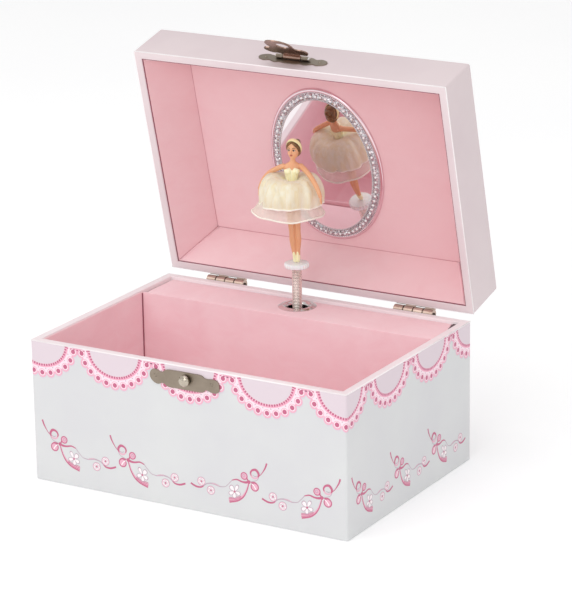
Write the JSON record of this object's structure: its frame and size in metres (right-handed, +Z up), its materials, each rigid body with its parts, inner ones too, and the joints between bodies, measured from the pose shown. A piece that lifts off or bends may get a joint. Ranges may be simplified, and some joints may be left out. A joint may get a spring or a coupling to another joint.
{
  "type": "wind up music box",
  "caption": "Hinged keepsake box with a lined tray, oval mirror inside the lid, hasp catch and a spring-mounted dancer turned by a wind-up movement.",
  "frame": {"origin": "centre of the base's rectangular footprint, at the bottom", "axes": "+Z up, +X to the right seen from the front, +Y to the rear where the hinges and key are"},
  "size_m": [0.181, 0.1619, 0.2177],
  "materials": {
    "printed_board": "paper wrapped, printed, satin",
    "lid_board": "paper wrapped, satin",
    "velour": "matte flocked lining",
    "bright_nickel": "polished",
    "nickel_steel": "satin nickel plate",
    "brass": "satin",
    "steel": "satin",
    "white_plastic": "gloss",
    "mirror": "silvered",
    "skin_plastic": "satin",
    "hair_plastic": "satin",
    "organza": "sheer"
  },
  "bodies": {
    "base": {"base_floor_panel": "printed_board", "base_front_wall": "printed_board", "base_rear_wall": "printed_board", "base_left_wall": "printed_board", "base_right_wall": "printed_board", "tray_lining": "velour", "movement_cover": "velour", "deck_grommet": "bright_nickel", "catch_plate": "nickel_steel", "catch_knob": "bright_nickel", "catch_nails": "nickel_steel", "hinge_leaf_base_left": "nickel_steel", "hinge_leaf_base_right": "nickel_steel", "hinge_pin_left": "brass", "hinge_pin_right": "brass", "hinge_screws_base": "nickel_steel", "key_escutcheon": "brass", "bedplate": "steel", "train_frame": "steel", "barrel_bridge": "steel", "ratchet_click": "steel", "comb": "steel", "movement_screws": "steel"},
    "lid": {"lid_top_panel": "lid_board", "lid_front_wall": "lid_board", "lid_rear_wall": "lid_board", "lid_left_wall": "lid_board", "lid_right_wall": "lid_board", "lid_lining": "velour", "mirror_frame": "bright_nickel", "mirror_glass": "mirror", "hinge_leaf_lid_left": "nickel_steel", "hinge_leaf_lid_right": "nickel_steel", "hinge_screws_lid": "nickel_steel", "hasp_plate": "nickel_steel", "hasp_nails": "nickel_steel", "hasp_pin": "brass"},
    "hasp": {"hasp": "nickel_steel"},
    "key": {"winding_key": "nickel_steel", "winding_arbor": "steel", "ratchet_wheel": "steel"},
    "barrel": {"spring_barrel": "steel", "crown_wheel": "brass", "mainspring": "steel"},
    "cylinder": {"music_cylinder": "brass", "cylinder_arbor": "steel", "great_wheel": "brass", "spindle_post": "brass"},
    "governor": {"governor_wheel": "brass"},
    "fan": {"governor_fan": "white_plastic"},
    "spring": {"dancer_spring": "steel"},
    "dancer": {"spring_plug": "bright_nickel", "dancer_disc": "white_plastic", "dancer_legs": "skin_plastic", "dancer_torso": "skin_plastic", "dancer_head": "skin_plastic", "dancer_arms": "skin_plastic", "dancer_hair": "hair_plastic", "dancer_skirt": "organza"}
  },
  "joints": [
    {"name": "lid_hinge", "type": "hinge", "parent": "base", "child": "lid", "pos_m": [0, 0.06724, 0.07324], "axis": [1, 0, 0], "range_deg": [0, 76]},
    {"name": "hasp_hinge", "type": "hinge", "parent": "lid", "child": "hasp", "pos_m": [-0.0005, 0.04516, 0.20505], "axis": [1, 0, 0], "range_deg": [-105.5, 44.5]},
    {"name": "key_wind", "type": "hinge", "parent": "base", "child": "key", "pos_m": [-0.0024, 0.06524, 0.02], "axis": [0, 1, 0], "continuous": true},
    {"name": "barrel_spin", "type": "hinge", "parent": "base", "child": "barrel", "pos_m": [-0.0024, 0.04, 0.02], "axis": [0, 1, 0], "continuous": true},
    {"name": "cylinder_spin", "type": "hinge", "parent": "base", "child": "cylinder", "pos_m": [-0.0024, 0.0494, 0.046], "axis": [0, 0, 1], "continuous": true},
    {"name": "governor_spin", "type": "hinge", "parent": "base", "child": "governor", "pos_m": [0.00633, 0.0472, 0.05], "axis": [0, 0, 1], "continuous": true},
    {"name": "fan_spin", "type": "hinge", "parent": "base", "child": "fan", "pos_m": [0.01494, 0.0446, 0.05], "axis": [0, 0, 1], "continuous": true},
    {"name": "dancer_tilt", "type": "hinge", "parent": "base", "child": "spring", "pos_m": [-0.0024, 0.0494, 0.0822], "axis": [1, 0, 0], "range_deg": [0, 100], "deforming": ["dancer_spring"]},
    {"name": "dancer_spin", "type": "hinge", "parent": "spring", "child": "dancer", "pos_m": [-0.0024, 0.0494, 0.0935], "axis": [0, 0, 1], "continuous": true}
  ],
  "couplings": [
    {"joint": "cylinder_spin", "follows": "barrel_spin", "ratio": 3},
    {"joint": "governor_spin", "follows": "barrel_spin", "ratio": -12},
    {"joint": "fan_spin", "follows": "barrel_spin", "ratio": 48},
    {"joint": "dancer_spin", "follows": "barrel_spin", "ratio": 3},
    {"joint": "dancer_tilt", "follows": "lid_hinge", "ratio": 1.3157}
  ]
}
